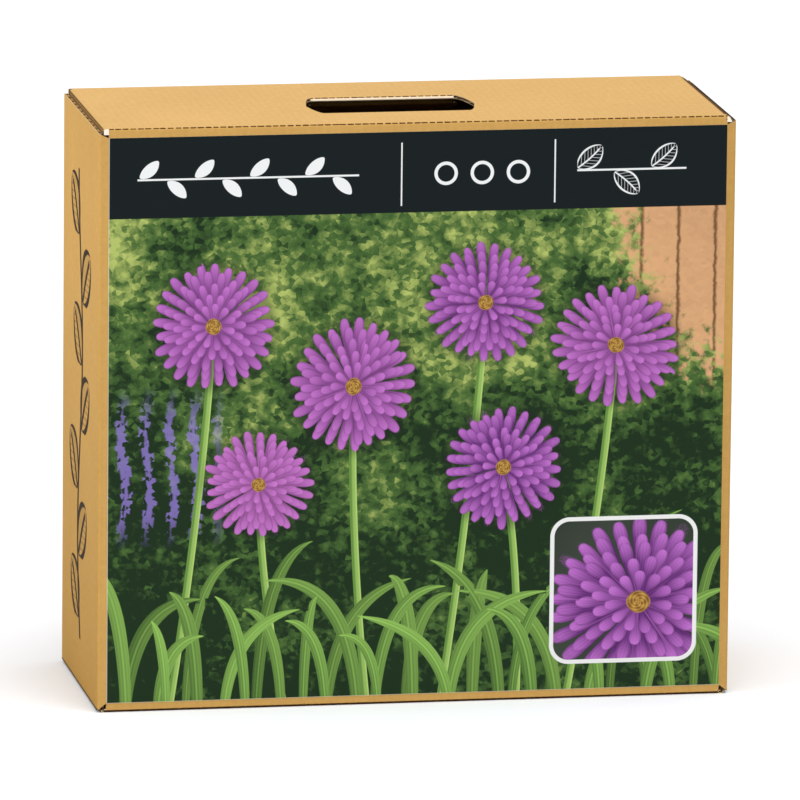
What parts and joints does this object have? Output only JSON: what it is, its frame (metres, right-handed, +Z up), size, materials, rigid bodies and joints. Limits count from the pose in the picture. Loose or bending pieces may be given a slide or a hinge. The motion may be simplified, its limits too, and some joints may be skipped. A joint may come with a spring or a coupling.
{
  "type": "corrugated carry carton",
  "caption": "Flat upright carton of kraft corrugated board with a hand hole in its top, a printed sheet on its front and a tucked lid at the back.",
  "frame": {"origin": "middle of the base, on the floor", "axes": "+Z up, +X to the right along the width seen from the front, +Y from the printed front to the lid at the back"},
  "size_m": [0.29, 0.106, 0.267],
  "materials": {
    "kraft_board": "uncoated kraft corrugated board",
    "printed_paper": "smooth printed paper, satin",
    "glue": "dried carton glue"
  },
  "bodies": {
    "carton": {"front_panel": "kraft_board", "printed_sheet": "printed_paper", "top_panel": "kraft_board", "bottom_panel": "kraft_board", "left_side_panel": "kraft_board", "right_side_panel": "kraft_board", "upper_left_corner_flap": "kraft_board", "upper_right_corner_flap": "kraft_board", "lower_left_corner_flap": "kraft_board", "lower_right_corner_flap": "kraft_board", "upper_left_glue_line": "glue", "upper_right_glue_line": "glue", "lower_left_glue_line": "glue", "lower_right_glue_line": "glue"},
    "lid": {"back_lid": "kraft_board"},
    "left_ear": {"left_lid_ear": "kraft_board"},
    "right_ear": {"right_lid_ear": "kraft_board"},
    "tuck": {"lid_tuck_flap": "kraft_board"},
    "hand_flap": {"hand_hole_flap": "kraft_board"}
  },
  "joints": [
    {"name": "lid_hinge", "type": "hinge", "parent": "carton", "child": "lid", "pos_m": [0, 0.053, 0.267], "axis": [1, 0, 0], "range_deg": [0, 180]},
    {"name": "left_ear_fold", "type": "hinge", "parent": "lid", "child": "left_ear", "pos_m": [-0.1415, 0.0514, 0.1335], "axis": [0, 0, 1], "range_deg": [0, 80]},
    {"name": "right_ear_fold", "type": "hinge", "parent": "lid", "child": "right_ear", "pos_m": [0.1415, 0.0514, 0.1335], "axis": [0, 0, -1], "range_deg": [0, 80]},
    {"name": "tuck_fold", "type": "hinge", "parent": "lid", "child": "tuck", "pos_m": [0, 0.0514, 0.0045], "axis": [-1, 0, 0], "range_deg": [0, 75]},
    {"name": "hand_flap_fold", "type": "hinge", "parent": "carton", "child": "hand_flap", "pos_m": [-0.0052, 0.0135, 0.2654], "axis": [-1, 0, 0], "range_deg": [-6, 165]}
  ]
}
